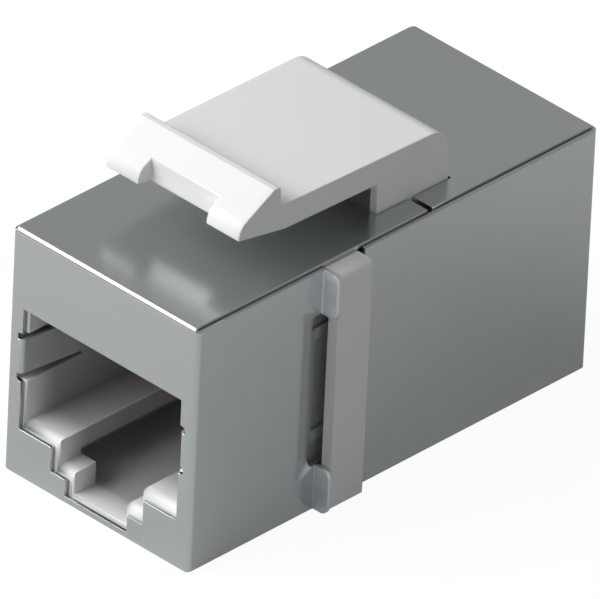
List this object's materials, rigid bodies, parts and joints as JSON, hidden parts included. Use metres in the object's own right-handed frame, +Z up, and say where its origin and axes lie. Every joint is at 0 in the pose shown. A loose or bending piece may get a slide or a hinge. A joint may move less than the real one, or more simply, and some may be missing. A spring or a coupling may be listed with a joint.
{
  "type": "shielded keystone coupler",
  "caption": "Shielded keystone coupler: folded metal shell with a modular socket at each end, side ribs and a springy white latch that snaps into a panel opening.",
  "frame": {"origin": "middle of the underside of the folded shell", "axes": "+Z up towards the panel latch, +Y from the front socket to the rear socket, +X to the right as the front socket is faced"},
  "size_m": [0.0168, 0.0316, 0.0211],
  "materials": {
    "plated_steel": "satin nickel-plated sheet",
    "white_moulding": "fine satin moulding",
    "carrier_moulding": "matte moulding",
    "board": "solder-masked glass fibre board",
    "contact_gold": "gold-plated spring strip"
  },
  "bodies": {
    "body": {"front_shield": "plated_steel", "rear_shield": "plated_steel", "keystone_frame": "white_moulding", "front_jack_housing": "white_moulding", "rear_jack_housing": "white_moulding", "front_contact_carrier": "carrier_moulding", "rear_contact_carrier": "carrier_moulding", "circuit_board": "board", "front_contact_1": "contact_gold", "front_contact_2": "contact_gold", "front_contact_3": "contact_gold", "front_contact_4": "contact_gold", "front_contact_5": "contact_gold", "front_contact_6": "contact_gold", "front_contact_7": "contact_gold", "front_contact_8": "contact_gold", "rear_contact_1": "contact_gold", "rear_contact_2": "contact_gold", "rear_contact_3": "contact_gold", "rear_contact_4": "contact_gold", "rear_contact_5": "contact_gold", "rear_contact_6": "contact_gold", "rear_contact_7": "contact_gold", "rear_contact_8": "contact_gold"},
    "latch": {"latch_lever": "white_moulding"}
  },
  "joints": [
    {"name": "latch_flex", "type": "hinge", "parent": "body", "child": "latch", "pos_m": [0, 0.00007, 0.01803], "axis": [1, 0, 0], "range_deg": [0, 10], "stiffness_Nm_per_rad": 0.2}
  ]
}
